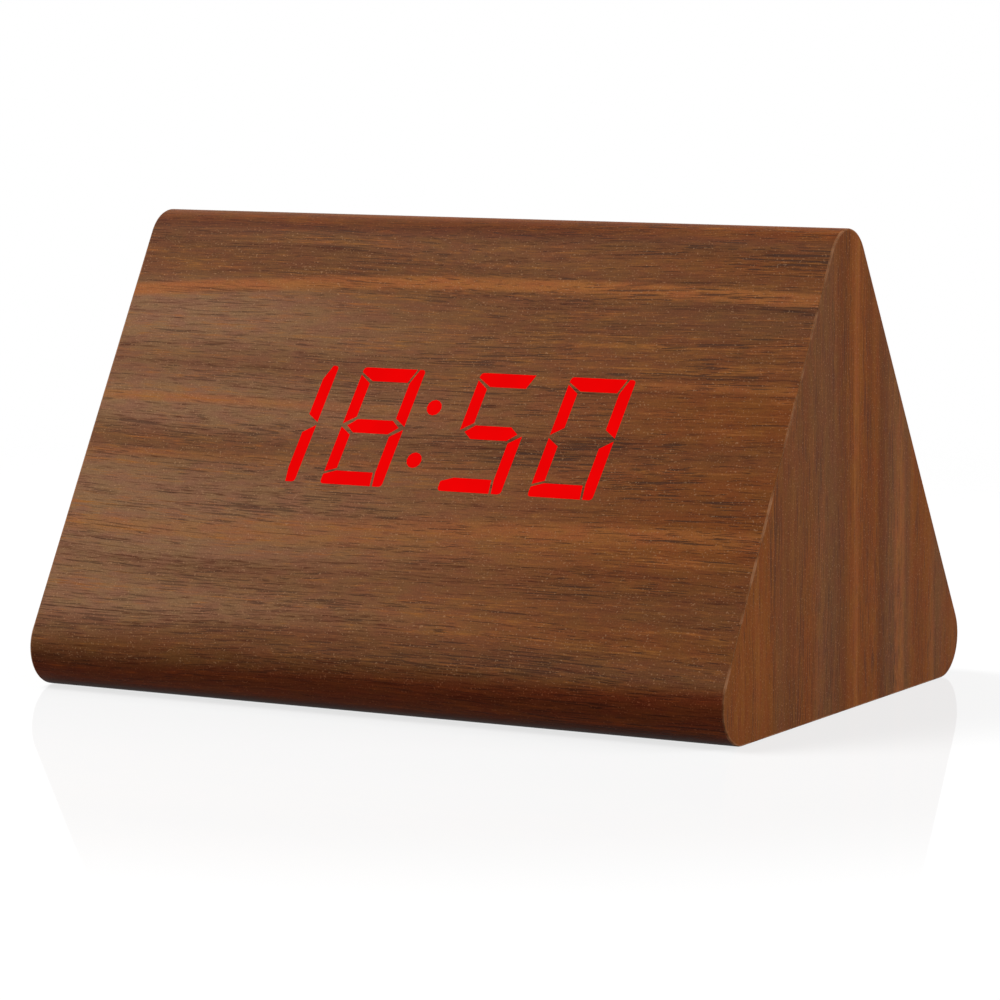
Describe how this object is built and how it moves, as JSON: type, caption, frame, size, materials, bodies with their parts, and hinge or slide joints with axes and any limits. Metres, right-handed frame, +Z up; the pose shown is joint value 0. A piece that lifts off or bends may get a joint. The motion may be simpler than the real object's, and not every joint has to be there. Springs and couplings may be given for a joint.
{
  "type": "wooden digital alarm clock",
  "caption": "Three-sided wood-film desk clock with a lit red time display, rear control panel and base battery compartment.",
  "frame": {"origin": "middle of the flat base, on the surface that the clock stands on", "axes": "+X to the right along the width as seen from the display side, -Y out of the display side, +Z up"},
  "size_m": [0.135, 0.0912, 0.0809],
  "materials": {
    "wood_film": "satin walnut-grain film on fibreboard, grain along the width",
    "end_wood_film": "satin walnut-grain film on fibreboard, grain up the end",
    "lit_segments": "clear red moulding lit from behind",
    "white_plastic": "white moulded plastic",
    "black_plastic": "fine-textured black moulded plastic",
    "button_plastic": "smooth black moulded plastic",
    "circuit_board": "green solder mask",
    "component_black": "matt black component casing",
    "zinc_screws": "bright zinc-plated steel",
    "nickel_plate": "nickel-plated steel",
    "cell_sleeve": "plain printed-film sleeve",
    "capacitor_sleeve": "shrunk-on sleeve",
    "wire_red": "red insulation",
    "wire_black": "black insulation",
    "ribbon_grey": "grey flat-cable insulation"
  },
  "bodies": {
    "case": {"case_wrap": "wood_film", "left_end_panel": "end_wood_film", "right_end_panel": "end_wood_film", "display_reflector": "white_plastic", "hours_tens_digit": "lit_segments", "hours_units_digit": "lit_segments", "colon_dots": "lit_segments", "minutes_tens_digit": "lit_segments", "minutes_units_digit": "lit_segments", "display_board": "circuit_board", "display_screw_1": "zinc_screws", "display_screw_2": "zinc_screws", "display_screw_3": "zinc_screws", "display_screw_4": "zinc_screws", "rear_panel": "black_plastic", "rear_panel_screw_1": "zinc_screws", "rear_panel_screw_2": "zinc_screws", "rear_panel_screw_3": "zinc_screws", "rear_panel_screw_4": "zinc_screws", "control_board": "circuit_board", "control_board_screw_1": "zinc_screws", "control_board_screw_2": "zinc_screws", "set_switch": "component_black", "down_switch": "component_black", "up_switch": "component_black", "clock_chip": "component_black", "clock_crystal": "nickel_plate", "filter_capacitor": "capacitor_sleeve", "alarm_buzzer": "component_black", "dc_jack": "black_plastic", "dc_jack_pin": "nickel_plate", "battery_tray": "black_plastic", "battery_tray_screw_1": "zinc_screws", "battery_tray_screw_2": "zinc_screws", "battery_cell_1": "cell_sleeve", "battery_cell_2": "cell_sleeve", "battery_cell_3": "cell_sleeve", "battery_cell_4": "cell_sleeve", "negative_contact": "nickel_plate", "left_bridge_contact": "nickel_plate", "positive_contact": "nickel_plate", "right_bridge_contact_1": "nickel_plate", "right_bridge_contact_2": "nickel_plate", "battery_wire_black": "wire_black", "battery_wire_red": "wire_red", "display_ribbon": "ribbon_grey"},
    "set_button": {"set_button": "button_plastic", "set_switch_plunger": "white_plastic"},
    "down_button": {"down_button": "button_plastic", "down_switch_plunger": "white_plastic"},
    "up_button": {"up_button": "button_plastic", "up_switch_plunger": "white_plastic"},
    "battery_door": {"battery_door": "black_plastic", "battery_door_screw_1": "zinc_screws", "battery_door_screw_2": "zinc_screws"}
  },
  "joints": [
    {"name": "set_button_press", "type": "slide", "parent": "case", "child": "set_button", "axis": [0, -0.866, -0.5], "range_m": [0, 0.0005], "stiffness_N_per_m": 2500, "springref_m": -0.0004},
    {"name": "down_button_press", "type": "slide", "parent": "case", "child": "down_button", "axis": [0, -0.866, -0.5], "range_m": [0, 0.0005], "stiffness_N_per_m": 2500, "springref_m": -0.0004},
    {"name": "up_button_press", "type": "slide", "parent": "case", "child": "up_button", "axis": [0, -0.866, -0.5], "range_m": [0, 0.0005], "stiffness_N_per_m": 2500, "springref_m": -0.0004},
    {"name": "battery_door_removal", "type": "slide", "parent": "case", "child": "battery_door", "axis": [0, 0, -1], "range_m": [0, 0.02]}
  ]
}
